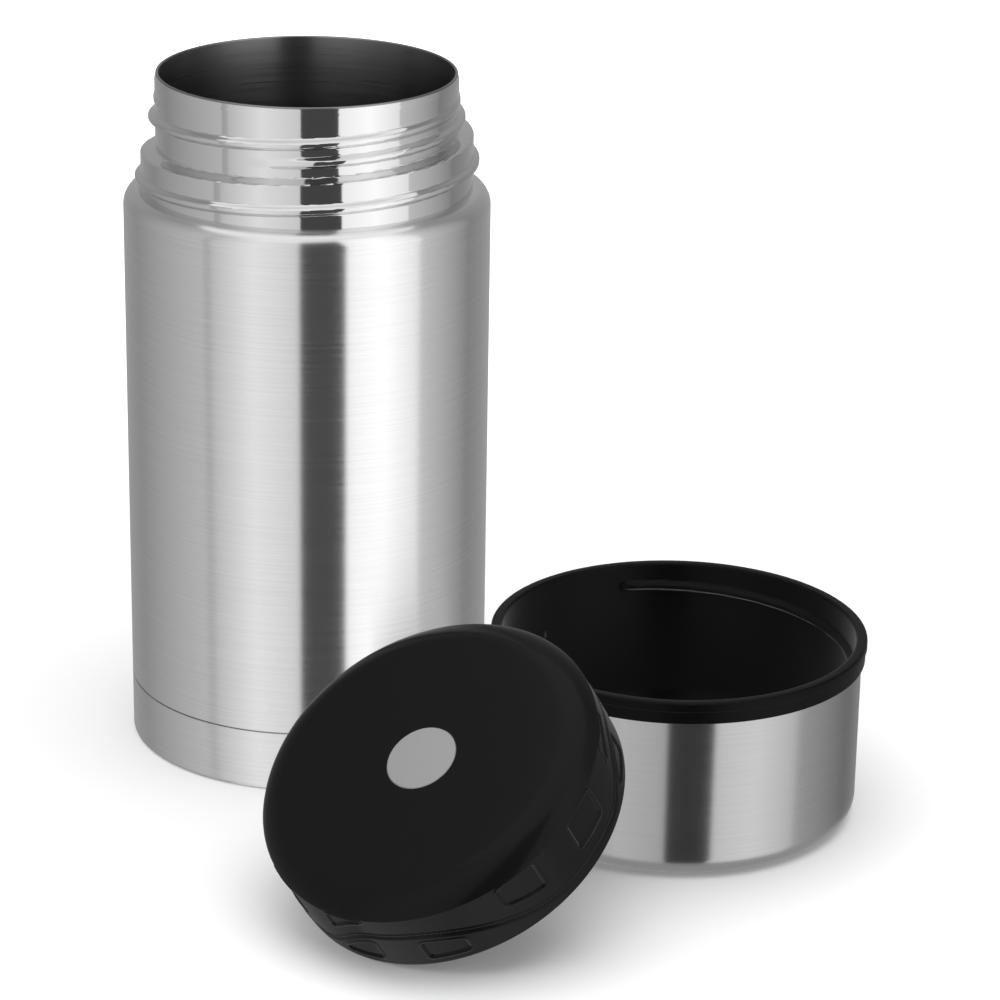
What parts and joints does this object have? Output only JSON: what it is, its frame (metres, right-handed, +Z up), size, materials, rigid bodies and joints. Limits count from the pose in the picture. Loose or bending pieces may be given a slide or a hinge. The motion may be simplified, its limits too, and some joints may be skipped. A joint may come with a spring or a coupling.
{
  "type": "insulated food jar",
  "caption": "Vacuum-insulated steel food jar with a screw stopper that has a push vent button, and a lined steel cup that screws over it, shown taken apart.",
  "frame": {"origin": "centre of the jar's base, on the table", "axes": "+Z up along the jar's axis, +X to the right of the pictured front, towards the cup, -Y to the front"},
  "size_m": [0.2135, 0.2268, 0.1997],
  "materials": {
    "shell_steel": "fine brushing round the body, polished neck",
    "vessel_steel": "satin",
    "copper_foil": "bright foil",
    "getter_metal": "dull",
    "black_liner": "fine satin",
    "black_cap": "fine matte texture",
    "black_plug": "smooth satin",
    "foam": "foamed",
    "silicone": "soft satin",
    "grey_button": "satin",
    "spring_steel": "bright"
  },
  "bodies": {
    "jar": {"outer_shell": "shell_steel", "inner_vessel": "vessel_steel", "inner_bottom": "vessel_steel", "heat_shield": "copper_foil", "vacuum_bottom": "vessel_steel", "getter": "getter_metal", "seal_bead": "getter_metal", "base_shell": "shell_steel"},
    "cup": {"cup_shell": "shell_steel", "cup_liner": "black_liner", "cup_collar": "black_liner"},
    "stopper": {"stopper_cap": "black_cap", "plug_shell": "black_plug", "plug_foam": "foam", "main_gasket": "silicone", "button_spring": "spring_steel"},
    "vent": {"vent_button": "grey_button", "valve_stem": "black_plug", "valve_seal": "silicone", "stem_clip": "spring_steel"}
  },
  "joints": [
    {"name": "cup_lift", "type": "slide", "parent": "jar", "child": "cup", "axis": [0.4284, 0.4792, 0.766], "range_m": [0, 0.12]},
    {"name": "stopper_lift", "type": "slide", "parent": "jar", "child": "stopper", "axis": [-0.3792, -0.4242, 0.8224], "range_m": [0, 0.08]},
    {"name": "vent_press", "type": "slide", "parent": "stopper", "child": "vent", "axis": [0.3792, 0.4242, -0.8224], "range_m": [0, 0.002], "stiffness_N_per_m": 800, "deforming": ["button_spring"]}
  ]
}
